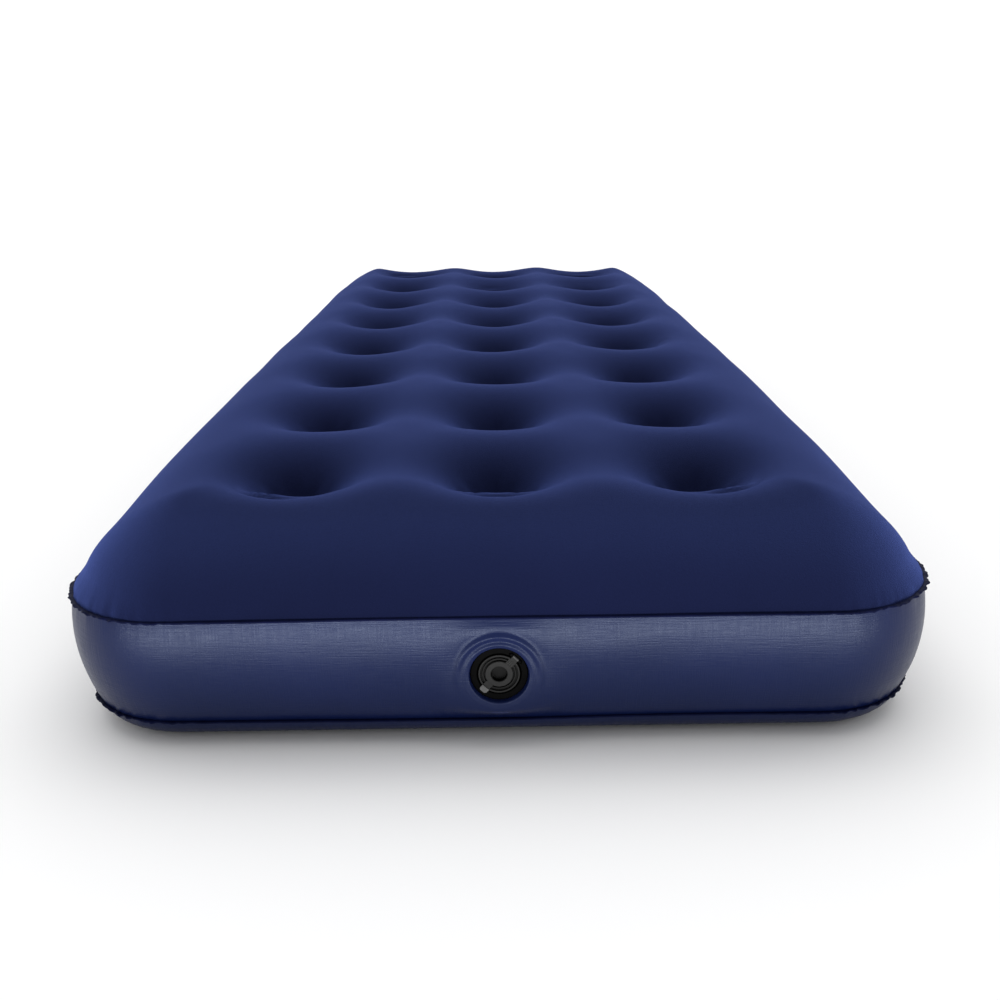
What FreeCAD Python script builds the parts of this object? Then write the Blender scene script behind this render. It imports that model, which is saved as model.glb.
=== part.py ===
"""Flocked single air bed with coil-beam construction and a two-way screw valve.

Frame: origin on the floor under the middle of the bed, +X across the bed, +Y from the valve end to the
head end, +Z up. Millimetres.

The envelope is four sheets of PVC: a dimpled top panel, a dimpled bottom panel, a side band between them
and a joining strip over the band's two ends. Twenty-four tubular coil beams inside tie the two panels
together, one under each dimple. The valve sits in the middle of the front band: a soft collar welded into
the band, a screw-in body for letting the air out fast, a hinged cap over the pump port, and a one-way flap
behind the port.
"""

import FreeCAD, Part

import math
import os

V = FreeCAD.Vector
X_AXIS = V(1, 0, 0)
Y_AXIS = V(0, 1, 0)
Z_AXIS = V(0, 0, 1)

# ---- Driving dimensions of the inflated bed ----
LENGTH = 1850.0  # seam to seam
WIDTH = 760.0  # seam to seam
HEIGHT = 207.0
CORNER_R = 102.0  # plan radius of the top seam's corners
TOP_SEAM_Z = 122.0
BOTTOM_SEAM_Z = 25.0
BOTTOM_INSET = 10.0  # the bottom seam lies this far inside the top one
SHEET = 1.0
BAND_BULGE = 8.0  # how far the band swells beyond the straight line between its seams

# ---- Welded seams ----
SEAM_LIP = 4.0  # flange outside the seam line
SEAM_THICK = 1.6

# ---- Dimples and the coil beams that hold them ----
COLUMNS = 3
ROWS = 8
COLUMN_PITCH = 187.5
ROW_PITCH = 217.0
TOP_ROLL = 80.0  # inward run of the top panel's rounded edge
BOTTOM_ROLL = 40.0
DIMPLE_FLOOR_R = 26.0
TOP_DIMPLE = {"depth": 55.0, "rim_r": 84.0, "floor_fillet": 18.0}
BOTTOM_DIMPLE = {"depth": 40.0, "rim_r": 75.0, "floor_fillet": 16.0}
BEAM_R = 22.5
BEAM_WALL = 0.6
BEAM_VENT_R = 4.0
WELD_RING_OUT = 25.0
WELD_RING_IN = 18.0
WELD_RING_THICK = 0.8

# ---- Strip over the joint of the band, on the head end ----
STRIP_X = 190.0
STRIP_WIDTH = 26.0
STRIP_THICK = 0.8

# ---- Valve: radii and depths from the collar's outer face, outward positive ----
VALVE_Z = 71.0
COLLAR_FACE_Y = -928.5
HINGE_ANGLE = 46.0  # direction of the cap's hinge seen from outside, from +X towards +Z
THREAD_LEAD = 6.0
COLLAR_FLANGE_R = 36.0
COLLAR_DEPTH = 11.0
COLLAR_MOUTH_R = 24.5
COLLAR_BORE_R = 22.5
COLLAR_TUBE_R = 27.5
COLLAR_END = -26.0
SHOULDER = -8.0
GASKET_THICK = 1.1
BODY_RIM_R = 24.1
BODY_RIM_TOP = -3.0
BODY_TUBE_R = 20.9
WELL_R = 18.6
WELL_FLOOR = -12.0
WELL_FLOOR_THICK = 2.0
PORT_R = 9.6
PORT_TUBE_R = 13.0
PORT_MOUTH = -7.0
PORT_STEP = -10.5
PORT_STEP_R = 10.7
PORT_END = -22.0
CAP_R = 17.6
CAP_UNDER = -6.4
CAP_TOP = -4.8
HINGE_R = 19.8
HINGE_DEPTH = -3.4
HINGE_PIN_R = 0.8
FLAP_R = 11.5
FLAP_THICK = 0.8
FLAP_GAP = 0.1
FLAP_PIVOT = V(0, 14.6, -22.3)
FLAP_PIN_R = 0.6
FLAP_DISC_REACH = 8.0  # the flap's hinge tab starts this far from the disc's middle
FLAP_TAB_HALF = 3.4
THREAD_FOOT_HALF = 0.9
THREAD_CREST_HALF = 0.5
THREAD_SINK = 0.4  # how far a thread's ridge is sunk into its wall
BODY_THREAD = {"crest_r": 22.1, "start": -24.5, "height": 11.0}
COLLAR_THREAD = {"crest_r": 21.3, "start": -21.5, "height": 9.0}
GASKET_IN = 22.8
GASKET_OUT = 24.2
LUG_NEAR = 3.4  # the ears of the cap's hinge lie between these distances from its middle
LUG_FAR = 5.6
LUG_EYE_R = 1.5
FLAP_LUG_NEAR = 3.9
FLAP_LUG_FAR = 5.5
WELL_RIBS = (60, 90, 120, 240, 270, 300)  # degrees past the hinge
WELL_RIB_HALF = 1.2
WELL_RIB_TOP = -8.6
BAR_HALF = 3.4
BAR_TOP = -2.4
BAR_FOOT = -5.2
RIDGE_STEP = 1.8  # spacing of the three fine grip ridges on the bar beside the hinge
RIDGE_HALF = 0.25
RIDGE_TOP = -2.0
TAB_HALF = 3.6
TAB_END = 21.0
TAB_TOP = -1.5
TAB_ROUND = 2.0
ARM_HALF = 3.0
KNUCKLE_R = 1.6
PIN_PLAY = 0.05  # radial play of a moving piece on its hinge pin
PIN_SEAT = 0.02  # radial gap of a pin in the ears that hold it

HALF_X = WIDTH / 2
HALF_Y = LENGTH / 2


def save(shape, name):
    """Writes one sub-part and reports its solids and volume."""
    shape.exportStep(os.path.join("parts", name + ".step"))
    print(name, "solids", len(shape.Solids), "valid", shape.isValid(), "mm3", round(shape.Volume, 1))


def face(edges):
    """A planar face inside a closed run of edges."""
    return Part.Face(Part.Wire(edges))


def line(start, end):
    return Part.LineSegment(V(start[0], 0, start[1]), V(end[0], 0, end[1])).toShape()


def arc(start, middle, end):
    points = [V(p[0], 0, p[1]) for p in (start, middle, end)]
    return Part.Arc(*points).toShape()


def on_circle(centre, radius, degrees):
    """A point on a circle in a profile's (radius, height) plane."""
    a = math.radians(degrees)
    return (centre[0] + radius * math.cos(a), centre[1] + radius * math.sin(a))


def polygon(points):
    return face([line(a, b) for a, b in zip(points, points[1:] + points[:1])])


def turned(points):
    """A solid of revolution about Z from (radius, height) points."""
    return polygon(points).revolve(V(0, 0, 0), Z_AXIS, 360)


def box(low, high):
    size = [b - a for a, b in zip(low, high)]
    return Part.makeBox(*size, V(*low))


# ---------------------------------------------------------------- the envelope


def swept_round(profile, half_x, half_y, corner_r):
    """Carries a profile, drawn from the corner centre outward, once round a rounded rectangle."""
    cx, cy = half_x - corner_r, half_y - corner_r
    centres = [V(cx, cy, 0), V(-cx, cy, 0), V(-cx, -cy, 0), V(cx, -cy, 0)]
    pieces = []
    for i, centre in enumerate(centres):
        start = profile.copy()
        start.rotate(V(0, 0, 0), Z_AXIS, 90 * i)
        start.translate(centre)
        pieces.append(start.revolve(centre, Z_AXIS, 90))
        straight = profile.copy()
        straight.rotate(V(0, 0, 0), Z_AXIS, 90 * (i + 1))
        straight.translate(centre)
        pieces.append(straight.extrude(centres[(i + 1) % 4] - centre))
    return pieces[0].multiFuse(pieces[1:]).removeSplitter()


def rolled_plate(half_x, half_y, corner_r, seam_z, rise, roll, sheet):
    """A sheet that rises from its seam in a rounded edge to a flat top, open underneath."""
    radius = (roll**2 + rise**2) / (2 * rise)
    centre = (corner_r - roll, rise - radius)

    def edge(inward):
        r = radius - inward
        reach = math.sqrt(r**2 - centre[1] ** 2)
        foot_angle = math.degrees(math.atan2(-centre[1], reach))
        return (
            (centre[0] + reach, 0.0),
            on_circle(centre, r, (foot_angle + 90) / 2),
            (centre[0], centre[1] + r),
        )

    outer, inner = edge(0.0), edge(sheet)
    rim = face([arc(*outer), line(outer[2], inner[2]), arc(*reversed(inner)), line(inner[0], outer[0])])
    shell = swept_round(rim, half_x, half_y, corner_r)
    shell.translate(V(0, 0, seam_z))
    flat_x, flat_y = half_x - roll, half_y - roll
    corner = corner_r - roll
    plate = rounded_slab(flat_x, flat_y, corner, seam_z + rise - sheet, sheet)
    return shell, plate


def rounded_slab(half_x, half_y, corner_r, z, thick):
    """A flat plate with a rounded-rectangle outline."""
    slab = box((-half_x, -half_y, z), (half_x, half_y, z + thick))
    edges = [e for e in slab.Edges if abs(e.tangentAt(e.FirstParameter).z) > 0.9]
    return slab.makeFillet(corner_r, edges)


def dimple_cup(top_z, depth, rim_r, floor_fillet, sheet):
    """One dimple: a flat floor, a concave fillet and a long roll out to the rim, as thick as the sheet."""
    run = rim_r - DIMPLE_FLOOR_R
    swing = math.degrees(2 * math.atan2(depth, run))
    roll = depth / (1 - math.cos(math.radians(swing))) - floor_fillet
    low = (DIMPLE_FLOOR_R, top_z - depth + floor_fillet)
    high = (rim_r, top_z - roll)

    def curve(offset):
        """Floor edge, its arc, the change of curve, the rim's arc and the rim, on one side of the sheet."""
        small, large = floor_fillet + offset, roll - offset
        return (
            on_circle(low, small, -90),
            on_circle(low, small, -90 + swing / 2),
            on_circle(low, small, -90 + swing),
            on_circle(high, large, 90 + swing / 2),
            on_circle(high, large, 90),
        )

    a, b = curve(0.0), curve(sheet)
    upper = [line((0, a[0][1]), a[0]), arc(a[0], a[1], a[2]), arc(a[2], a[3], a[4])]
    lower = [arc(b[4], b[3], b[2]), arc(b[2], b[1], b[0]), line(b[0], (0, b[0][1]))]
    wall = face(upper + [line(a[4], b[4])] + lower + [line((0, b[0][1]), (0, a[0][1]))])
    return wall.revolve(V(0, 0, 0), Z_AXIS, 360)


def dimple_centres():
    """(row, column, centre) of every dimple, rows counted from the valve end, columns from the left."""
    for row in range(ROWS):
        y = (row - (ROWS - 1) / 2) * ROW_PITCH
        for column in range(COLUMNS):
            yield row, column, V((column - (COLUMNS - 1) / 2) * COLUMN_PITCH, y, 0)


def dimpled_panel(half_x, half_y, corner_r, seam_z, rise, roll, dimple):
    """A panel with its crown above the seam: rounded edge, flat top and every dimple, as one sheet."""
    shell, plate = rolled_plate(half_x, half_y, corner_r, seam_z, rise, roll, SHEET)
    top_z = seam_z + rise
    hole = Part.makeCylinder(dimple["rim_r"], 4 * SHEET, V(0, 0, top_z - 2 * SHEET))
    cup = dimple_cup(top_z, dimple["depth"], dimple["rim_r"], dimple["floor_fillet"], SHEET)
    holes, cups = [], []
    for _, _, centre in dimple_centres():
        holes.append(hole.translated(centre))
        cups.append(cup.translated(centre))
    plate = plate.cut(holes)
    return plate.multiFuse([shell] + cups).removeSplitter()


def top_panel():
    seam = TOP_SEAM_Z + SEAM_THICK / 2
    return dimpled_panel(HALF_X, HALF_Y, CORNER_R, seam, HEIGHT - seam, TOP_ROLL, TOP_DIMPLE)


def bottom_panel():
    """The same construction turned over: its crown is what lies on the floor."""
    inset = BOTTOM_INSET
    rise = BOTTOM_SEAM_Z - SEAM_THICK / 2
    panel = dimpled_panel(
        HALF_X - inset, HALF_Y - inset, CORNER_R - inset, 0.0, rise, BOTTOM_ROLL, BOTTOM_DIMPLE
    )
    panel = panel.mirror(V(0, 0, 0), Z_AXIS)
    panel.translate(V(0, 0, rise))
    return panel


def band_curve(offset, low_z, high_z):
    """Three points of the band's swelling section, this far outside its outer face."""
    top = (CORNER_R, TOP_SEAM_Z)
    bottom = (CORNER_R - BOTTOM_INSET, BOTTOM_SEAM_Z)
    chord = math.hypot(top[0] - bottom[0], top[1] - bottom[1])
    radius = ((chord / 2) ** 2 + BAND_BULGE**2) / (2 * BAND_BULGE)
    lean = math.atan2(top[0] - bottom[0], top[1] - bottom[1])
    middle = ((top[0] + bottom[0]) / 2, (top[1] + bottom[1]) / 2)
    back = radius - BAND_BULGE
    centre = (middle[0] - back * math.cos(lean), middle[1] + back * math.sin(lean))
    reach = radius + offset

    def at(z):
        return (centre[0] + math.sqrt(reach**2 - (z - centre[1]) ** 2), z)

    return at(low_z), at((low_z + high_z) / 2), at(high_z)


def band_section(inner, outer, low_z, high_z):
    a, b = band_curve(inner, low_z, high_z), band_curve(outer, low_z, high_z)
    return face([line(a[0], b[0]), arc(*b), line(b[2], a[2]), arc(*reversed(a))])


def side_band():
    section = band_section(-SHEET, 0.0, BOTTOM_SEAM_Z + SEAM_THICK / 2, TOP_SEAM_Z - SEAM_THICK / 2)
    band = swept_round(section, HALF_X, HALF_Y, CORNER_R)
    valve_hole = Part.makeCylinder(COLLAR_FLANGE_R, 60, V(0, -HALF_Y - 30, VALVE_Z), Y_AXIS)
    return band.cut(valve_hole)


def band_joint_strip():
    """The strip welded over the outside of the band where its two ends meet."""
    margin = SEAM_THICK / 2 + 0.2
    section = band_section(0.0, STRIP_THICK, BOTTOM_SEAM_Z + margin, TOP_SEAM_Z - margin)
    section.rotate(V(0, 0, 0), Z_AXIS, 90)
    section.translate(V(STRIP_X, HALF_Y - CORNER_R, 0))
    return section.extrude(V(-STRIP_WIDTH, 0, 0))


def seam_flange(half_x, half_y, corner_r, z):
    """The flat lip where two sheets are welded edge to edge."""
    low = z - SEAM_THICK / 2
    grow = SEAM_LIP
    outside = rounded_slab(half_x + grow, half_y + grow, corner_r + grow, low, SEAM_THICK)
    grow = -1.2 * SHEET
    inside = rounded_slab(half_x + grow, half_y + grow, corner_r + grow, low, SEAM_THICK)
    return outside.cut(inside)


# ------------------------------------------------------------ the coil beams


def beam_levels():
    """The heights between which a beam and its two weld rings stand."""
    low = BOTTOM_DIMPLE["depth"] + SHEET
    high = HEIGHT - TOP_DIMPLE["depth"] - SHEET
    return low, high


def coil_beam(centre):
    """An open tube with four vent holes, so that air passes between the beams."""
    low, high = beam_levels()
    low += WELD_RING_THICK
    high -= WELD_RING_THICK
    start = centre + V(0, 0, low)
    tube = Part.makeCylinder(BEAM_R, high - low, start)
    tube = tube.cut(Part.makeCylinder(BEAM_R - BEAM_WALL, high - low, start))
    middle = centre + V(0, 0, (low + high) / 2)
    for axis in (X_AXIS, Y_AXIS):
        tube = tube.cut(Part.makeCylinder(BEAM_VENT_R, 4 * BEAM_R, middle - axis * 2 * BEAM_R, axis))
    return tube


def weld_rings(z):
    """One flat ring per beam, where the tube's end is welded to a dimple's floor."""
    rings = []
    for _, _, centre in dimple_centres():
        start = centre + V(0, 0, z)
        ring = Part.makeCylinder(WELD_RING_OUT, WELD_RING_THICK, start)
        rings.append(ring.cut(Part.makeCylinder(WELD_RING_IN, WELD_RING_THICK, start)))
    return Part.makeCompound(rings)


# ------------------------------------------------------------------ the valve
# Drawn with Z pointing out of the bed, X to the right and Y up as seen from outside.


def place_valve(shape):
    placed = shape.copy()
    placed.rotate(V(0, 0, 0), X_AXIS, 90)
    placed.translate(V(0, COLLAR_FACE_Y, VALVE_Z))
    return placed


def toward_hinge(shape, degrees=0.0):
    """Turns a piece drawn along +X to the direction of the cap's hinge, or that far past it."""
    turned_shape = shape.copy()
    turned_shape.rotate(V(0, 0, 0), Z_AXIS, HINGE_ANGLE + degrees)
    return turned_shape


def thread_ridge(root_r, crest_r, start, height):
    """A right-handed ridge, sunk a little into the wall that carries it."""
    sunk = root_r - THREAD_SINK if crest_r > root_r else root_r + THREAD_SINK
    corners = [(sunk, -THREAD_FOOT_HALF), (crest_r, -THREAD_CREST_HALF)]
    corners += [(crest_r, THREAD_CREST_HALF), (sunk, THREAD_FOOT_HALF), (sunk, -THREAD_FOOT_HALF)]
    profile = Part.makePolygon([V(r, 0, z) for r, z in corners])
    spine = Part.Wire(Part.makeHelix(THREAD_LEAD, height, root_r))
    ridge = spine.makePipeShell([profile], True, True)
    return ridge.translated(V(0, 0, start))


def valve_collar():
    """Soft flange and neck, welded into the band, with an inside thread for the body."""
    lip = 1.5
    collar = turned(
        [
            (COLLAR_FLANGE_R, -COLLAR_DEPTH),
            (COLLAR_FLANGE_R, -0.6),
            (COLLAR_FLANGE_R - 0.6, 0.0),
            (31.5, 0.0),
            (30.4, 0.9),
            (29.2, lip),
            (27.8, lip),
            (26.4, 0.6),
            (COLLAR_MOUTH_R, -1.8),
            (COLLAR_MOUTH_R, SHOULDER),
            (COLLAR_BORE_R, SHOULDER),
            (COLLAR_BORE_R, COLLAR_END),
            (COLLAR_TUBE_R, COLLAR_END),
            (COLLAR_TUBE_R, -COLLAR_DEPTH),
        ]
    )
    return collar.fuse(thread_ridge(COLLAR_BORE_R, **COLLAR_THREAD))


def valve_backing_ring():
    """Flat ring on the inside of the band, behind the collar's flange."""
    inner, high = COLLAR_TUBE_R + 0.2, -COLLAR_DEPTH
    low = high - SHEET
    return turned([(inner, low), (COLLAR_FLANGE_R, low), (COLLAR_FLANGE_R, high), (inner, high)])


def body_gasket():
    """Washer between the body's rim and the collar's shoulder."""
    top = SHOULDER + GASKET_THICK
    return turned([(GASKET_IN, SHOULDER), (GASKET_OUT, SHOULDER), (GASKET_OUT, top), (GASKET_IN, top)])


def hinge_lug(side):
    """One ear of the cap's hinge, drawn along +X."""
    low, high = (LUG_NEAR, LUG_FAR) if side > 0 else (-LUG_FAR, -LUG_NEAR)
    ear = box((HINGE_R - LUG_EYE_R, low, -6.2), (HINGE_R + LUG_EYE_R, high, HINGE_DEPTH))
    return ear.fuse(Part.makeCylinder(LUG_EYE_R, high - low, V(HINGE_R, low, HINGE_DEPTH), Y_AXIS))


def flap_lug(side):
    """One ear of the flap's hinge, hanging from the floor of the well."""
    low, high = (FLAP_LUG_NEAR, FLAP_LUG_FAR) if side > 0 else (-FLAP_LUG_FAR, -FLAP_LUG_NEAR)
    ear = box((low, 12.4, FLAP_PIVOT.z), (high, 16.1, WELL_FLOOR - 1))
    ear = ear.cut(box((low - 1, 12.0, FLAP_PIVOT.z - 1), (high + 1, 13.3, PORT_END + 0.5)))
    return ear.fuse(Part.makeCylinder(LUG_EYE_R, high - low, V(low, FLAP_PIVOT.y, FLAP_PIVOT.z), X_AXIS))


def valve_body():
    """Screw-in housing: rim, well, pump port, hinge ears and an outside thread."""
    gasket_top = SHOULDER + GASKET_THICK
    floor_under = WELL_FLOOR - WELL_FLOOR_THICK
    body = turned(
        [
            (BODY_RIM_R - 0.6, BODY_RIM_TOP),
            (BODY_RIM_R, BODY_RIM_TOP - 0.6),
            (BODY_RIM_R, gasket_top),
            (BODY_TUBE_R, gasket_top),
            (BODY_TUBE_R, COLLAR_END),
            (WELL_R, COLLAR_END),
            (WELL_R, floor_under),
            (PORT_TUBE_R, floor_under),
            (PORT_TUBE_R, PORT_END),
            (PORT_R, PORT_END),
            (PORT_R, PORT_STEP),
            (PORT_STEP_R, PORT_STEP),
            (PORT_STEP_R, PORT_MOUTH),
            (PORT_TUBE_R, PORT_MOUTH),
            (PORT_TUBE_R, WELL_FLOOR),
            (WELL_R, WELL_FLOOR),
            (WELL_R, BODY_RIM_TOP - 0.5),
            (WELL_R + 0.5, BODY_RIM_TOP),
        ]
    )
    body = body.fuse(thread_ridge(BODY_TUBE_R, **BODY_THREAD))
    rib_foot = (PORT_TUBE_R - 0.3, -WELL_RIB_HALF, WELL_FLOOR - 0.5)
    rib = box(rib_foot, (WELL_R + 0.3, WELL_RIB_HALF, WELL_RIB_TOP))
    body = body.multiFuse([toward_hinge(rib, a) for a in WELL_RIBS])
    body = body.cut(toward_hinge(box((17.4, -6.0, -5.6), (21.9, 6.0, 0))))
    body = body.multiFuse([toward_hinge(hinge_lug(s)) for s in (1, -1)] + [flap_lug(s) for s in (1, -1)])
    hinge_hole = Part.makeCylinder(HINGE_PIN_R + PIN_SEAT, 14, V(HINGE_R, -7, HINGE_DEPTH), Y_AXIS)
    flap_hole = Part.makeCylinder(FLAP_PIN_R + PIN_SEAT, 14, FLAP_PIVOT - X_AXIS * 7, X_AXIS)
    return body.cut([toward_hinge(hinge_hole), flap_hole]).removeSplitter()


def port_cap():
    """Flip cap: plug, grip rings, finger pocket, cross bar, pull tab and hinge arm."""
    cap = turned(
        [
            (0, -8.0),
            (6.4, -8.0),
            (6.9, -7.5),
            (6.9, -2.7),
            (7.4, -2.2),
            (11.2, -2.2),
            (11.7, -2.7),
            (11.7, CAP_TOP),
            (12.9, CAP_TOP),
            (12.9, -3.5),
            (13.2, -3.2),
            (14.0, -3.2),
            (14.3, -3.5),
            (14.3, CAP_TOP),
            (15.9, CAP_TOP),
            (15.9, -2.9),
            (16.2, -2.6),
            (17.1, -2.6),
            (17.4, -2.9),
            (CAP_R, CAP_TOP),
            (CAP_R, CAP_UNDER),
            (9.9, CAP_UNDER),
            (9.9, -9.5),
            (9.4, -10.0),
            (8.4, -10.0),
            (8.4, CAP_UNDER),
            (7.9, CAP_UNDER),
            (7.9, -9.2),
            (0, -9.2),
        ]
    )
    bar = box((11.3, -BAR_HALF, BAR_FOOT), (16.6, BAR_HALF, BAR_TOP))
    ridges = [
        box((11.9, y - RIDGE_HALF, BAR_TOP - 0.2), (16.2, y + RIDGE_HALF, RIDGE_TOP))
        for y in (-RIDGE_STEP, 0, RIDGE_STEP)
    ]
    tab_root = box((16.2, -TAB_HALF, BAR_FOOT), (17.4, TAB_HALF, TAB_TOP))
    tab = box((16.6, -TAB_HALF, -2.8), (TAB_END, TAB_HALF, TAB_TOP)).fuse(tab_root)
    round_end = [e for e in tab.Edges if abs(e.tangentAt(0).z) > 0.9 and e.BoundBox.XMin > TAB_END - 0.1]
    tab = tab.makeFillet(TAB_ROUND, round_end)
    arm = box((15.9, -ARM_HALF, -4.6), (HINGE_R, ARM_HALF, -2.2))
    knuckle = Part.makeCylinder(KNUCKLE_R, 2 * ARM_HALF, V(HINGE_R, -ARM_HALF, HINGE_DEPTH), Y_AXIS)
    pin_hole = Part.makeCylinder(HINGE_PIN_R + PIN_PLAY, 14, V(HINGE_R, -7, HINGE_DEPTH), Y_AXIS)
    near_side = [toward_hinge(s) for s in [bar, arm, knuckle] + ridges]
    far_side = [toward_hinge(s, 180) for s in (bar, tab)]
    return cap.multiFuse(near_side + far_side).cut(toward_hinge(pin_hole)).removeSplitter()


def cap_seal():
    """Soft washer under the cap, on the plug's root."""
    return turned([(10.0, -6.9), (12.9, -6.9), (12.9, CAP_UNDER), (10.0, CAP_UNDER)])


def cap_hinge_pin():
    return toward_hinge(Part.makeCylinder(HINGE_PIN_R, 11.2, V(HINGE_R, -5.6, HINGE_DEPTH), Y_AXIS))


def check_flap():
    """Soft disc that closes the port from inside, with a tab up to its hinge."""
    top = PORT_END - FLAP_GAP
    disc = Part.makeCylinder(FLAP_R, FLAP_THICK, V(0, 0, top - FLAP_THICK))
    half = FLAP_TAB_HALF
    tab = box((-half, FLAP_DISC_REACH, top - FLAP_THICK), (half, FLAP_PIVOT.y, top))
    barrel = Part.makeCylinder(1.2, 2 * half, V(-half, FLAP_PIVOT.y, FLAP_PIVOT.z), X_AXIS)
    pin_hole = Part.makeCylinder(FLAP_PIN_R + PIN_PLAY, 14, FLAP_PIVOT - X_AXIS * 7, X_AXIS)
    return disc.multiFuse([tab, barrel]).cut(pin_hole).removeSplitter()


def flap_hinge_pin():
    return Part.makeCylinder(FLAP_PIN_R, 11.0, FLAP_PIVOT - X_AXIS * 5.5, X_AXIS)


def main():
    os.makedirs("parts", exist_ok=True)
    save(top_panel(), "top_panel")
    save(bottom_panel(), "bottom_panel")
    save(side_band(), "side_band")
    save(band_joint_strip(), "band_joint_strip")
    save(seam_flange(HALF_X, HALF_Y, CORNER_R, TOP_SEAM_Z), "top_seam")
    inset = BOTTOM_INSET
    save(seam_flange(HALF_X - inset, HALF_Y - inset, CORNER_R - inset, BOTTOM_SEAM_Z), "bottom_seam")
    low, high = beam_levels()
    save(weld_rings(low), "lower_weld_rings")
    save(weld_rings(high - WELD_RING_THICK), "upper_weld_rings")
    for row, column, centre in dimple_centres():
        save(coil_beam(centre), f"coil_beam_row{row + 1}_{('left', 'middle', 'right')[column]}")
    valve_pieces = {
        "valve_collar": valve_collar,
        "valve_backing_ring": valve_backing_ring,
        "body_gasket": body_gasket,
        "valve_body": valve_body,
        "port_cap": port_cap,
        "cap_seal": cap_seal,
        "cap_hinge_pin": cap_hinge_pin,
        "check_flap": check_flap,
        "flap_hinge_pin": flap_hinge_pin,
    }
    for name, make in valve_pieces.items():
        save(place_valve(make()), name)


main()
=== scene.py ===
"""The looks of a flocked single air bed, built round its CAD model.

The bed's envelope is three sheets: the flocked top with its dimples, the embossed side band and
the base. They are meshed from the shape of an inflated bed. The top is then blown up by cloth
simulation, and the welds, puckers and creases come after it. A soft face lies over the valve's
collar. The valve and the beams inside keep their CAD shapes.
"""

import math

import bpy
import numpy as np
from mathutils import Matrix, Vector, noise


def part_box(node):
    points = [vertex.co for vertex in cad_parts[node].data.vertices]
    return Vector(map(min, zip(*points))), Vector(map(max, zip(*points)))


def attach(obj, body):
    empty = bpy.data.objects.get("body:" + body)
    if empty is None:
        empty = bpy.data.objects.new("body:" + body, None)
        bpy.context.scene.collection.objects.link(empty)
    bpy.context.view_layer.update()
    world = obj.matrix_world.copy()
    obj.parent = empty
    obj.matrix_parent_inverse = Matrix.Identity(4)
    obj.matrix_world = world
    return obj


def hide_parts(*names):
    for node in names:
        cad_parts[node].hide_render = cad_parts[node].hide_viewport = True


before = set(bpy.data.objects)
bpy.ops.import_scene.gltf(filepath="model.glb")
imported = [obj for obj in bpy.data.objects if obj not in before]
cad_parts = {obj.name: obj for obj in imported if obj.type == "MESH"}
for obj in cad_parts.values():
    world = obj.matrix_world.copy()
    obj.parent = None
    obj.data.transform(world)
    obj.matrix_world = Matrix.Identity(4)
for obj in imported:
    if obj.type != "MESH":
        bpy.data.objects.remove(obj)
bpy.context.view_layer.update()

MM = 0.001


# ---------------------------------------------------------------- sizes, from the frame


def box_of(node):
    low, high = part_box(node)
    return np.array(low), np.array(high)


HALF_X, HALF_Y, CREST_Z = box_of("top_panel")[1]
TOP_SEAM_Z = float(np.mean([c[2] for c in box_of("top_seam")]))
BASE_SEAM_Z = float(np.mean([c[2] for c in box_of("bottom_seam")]))
BASE_INSET = HALF_X - box_of("bottom_panel")[1][0]
BEAM_NODES = sorted(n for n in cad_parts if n.startswith("coil_beam"))
DIMPLES = np.array([np.mean(box_of(n), axis=0)[:2] for n in BEAM_NODES])
COLUMNS = sorted(set(np.round(DIMPLES[:, 0], 4)))  # the dimples' columns, from left to right
ROWS = sorted(set(np.round(DIMPLES[:, 1], 4)))  # the dimples' rows, from the valve end
COLUMN_PITCH = DIMPLES[:, 0].max() / (len(COLUMNS) // 2)
WELD_GAP = 1.2 * MM  # between a sheet's outer face and the weld ring under it
PIT_FLOOR_Z = box_of("upper_weld_rings")[1][2] + WELD_GAP
BASE_PIT_Z = box_of("lower_weld_rings")[0][2] - WELD_GAP

COLLAR_BEAD = 1.5 * MM  # the collar's raised ring stands this far out of its flat face
COLLAR_LOW, COLLAR_HIGH = box_of("valve_collar")
VALVE_X, VALVE_Z = (COLLAR_LOW[0] + COLLAR_HIGH[0]) / 2, (COLLAR_LOW[2] + COLLAR_HIGH[2]) / 2
FACE_OFF = -HALF_Y - (COLLAR_LOW[1] + COLLAR_BEAD)  # collar face, outward from the seam's outline
MOUTH_R = 24.4 * MM
LIP_ROUND = 1.4 * MM  # radial run of the rounding into the mouth

# ---------------------------------------------------------------- shape of the inflated envelope

CORNER_R = 102 * MM
TOP_ROLL = 126 * MM
TOP_ROLL_POWER = 1.74
BASE_ROLL = 39 * MM
TOP_PULL, TOP_REACH = 42 * MM, 128 * MM  # depth scale and radius of a dimple's basin
BASE_PULL, BASE_REACH = 32 * MM, 112 * MM
EDGE_PULL = 0.38  # share of the pull that is left at the panel's edge
EDGE_FREE = 155 * MM  # distance from the edge at which all of it acts
BAND_BULGE = 8 * MM
SWELL = 3.6 * MM  # rise of the sheet between the columns of dimples
SLACK = 7 * MM  # how far the top's sides draw in near the bed's ends, and again towards its head
HEAD_DROP = 3.5 * MM  # how much less full the head end is than the foot end
HEAD_TILT = 5 * MM  # how much lower than that it lies at its right edge, and higher at its left
VALVE_PUSH = 3.0 * MM  # how far the collar pushes the band below it outwards
SIM_CAP = 5 * MM  # the most that the cloth simulation moves a point
TOP_SEAM_SEED, BASE_SEAM_SEED = 1, 2
TOP_SEAM_REACH, BASE_SEAM_REACH = 26 * MM, 12 * MM  # how far into the sheets a seam's waves run
CELL = 9 * MM  # size of a mesh cell before subdivision

STRAIGHT_X = HALF_X - CORNER_R
STRAIGHT_Y = HALF_Y - CORNER_R
QUARTER_ARC = CORNER_R * math.pi / 2
PERIMETER = 4 * (STRAIGHT_X + STRAIGHT_Y) + 4 * QUARTER_ARC
JOINT_S = PERIMETER / 2 - float(np.mean([c[0] for c in box_of("band_joint_strip")]))


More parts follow.
